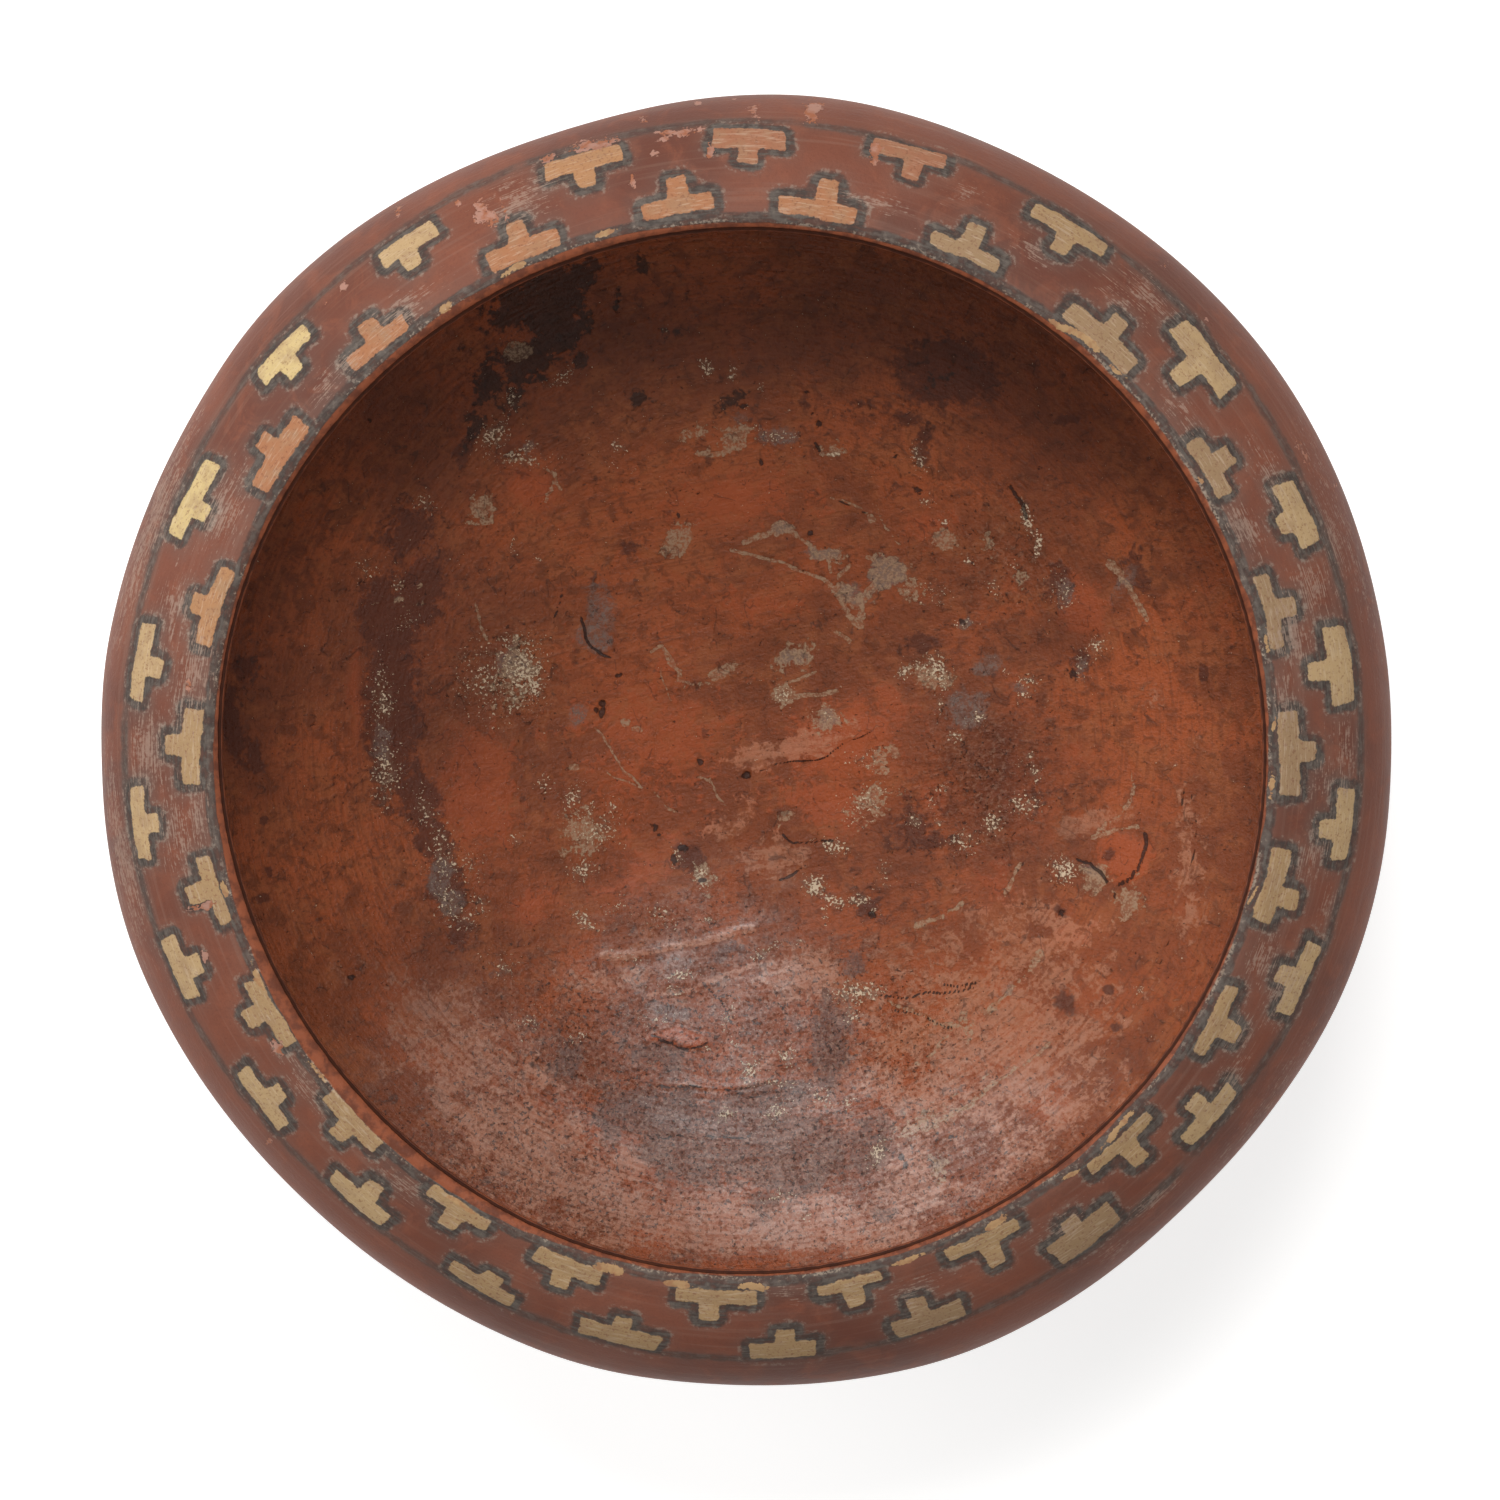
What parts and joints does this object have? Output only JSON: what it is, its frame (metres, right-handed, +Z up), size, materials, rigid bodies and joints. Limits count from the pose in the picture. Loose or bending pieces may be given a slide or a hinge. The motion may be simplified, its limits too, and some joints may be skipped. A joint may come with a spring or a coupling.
{
  "type": "pedestal bowl",
  "caption": "Low hand-built bowl of painted red-slipped clay with an in-turned shoulder, a rolled lip and a hollow flared pedestal foot.",
  "frame": {"origin": "centre of the circle that the foot stands on", "axes": "+Z up along the vessel's axis of turn; +X to the right and +Y to the top of the picture, which looks down into the bowl"},
  "size_m": [0.25, 0.25, 0.111],
  "materials": {
    "painted_slip": "burnished dark red slip with a cream, orange and charcoal stepped frieze",
    "burnished_slip": "burnished dark red slip, lightly abraded",
    "worn_slip": "worn reddish-brown slip with scratches, spalls and mineral specks",
    "bare_clay": "matte orange fired clay"
  },
  "bodies": {
    "root": {"floor_disc": "worn_slip", "lower_wall_course": "worn_slip", "middle_wall_course": "worn_slip", "upper_wall_course": "burnished_slip", "shoulder_course": "painted_slip", "lip_coil": "bare_clay", "pedestal_wall": "burnished_slip", "foot_roll": "burnished_slip", "outer_corner_coil": "burnished_slip", "inner_corner_coil": "bare_clay"}
  },
  "joints": []
}
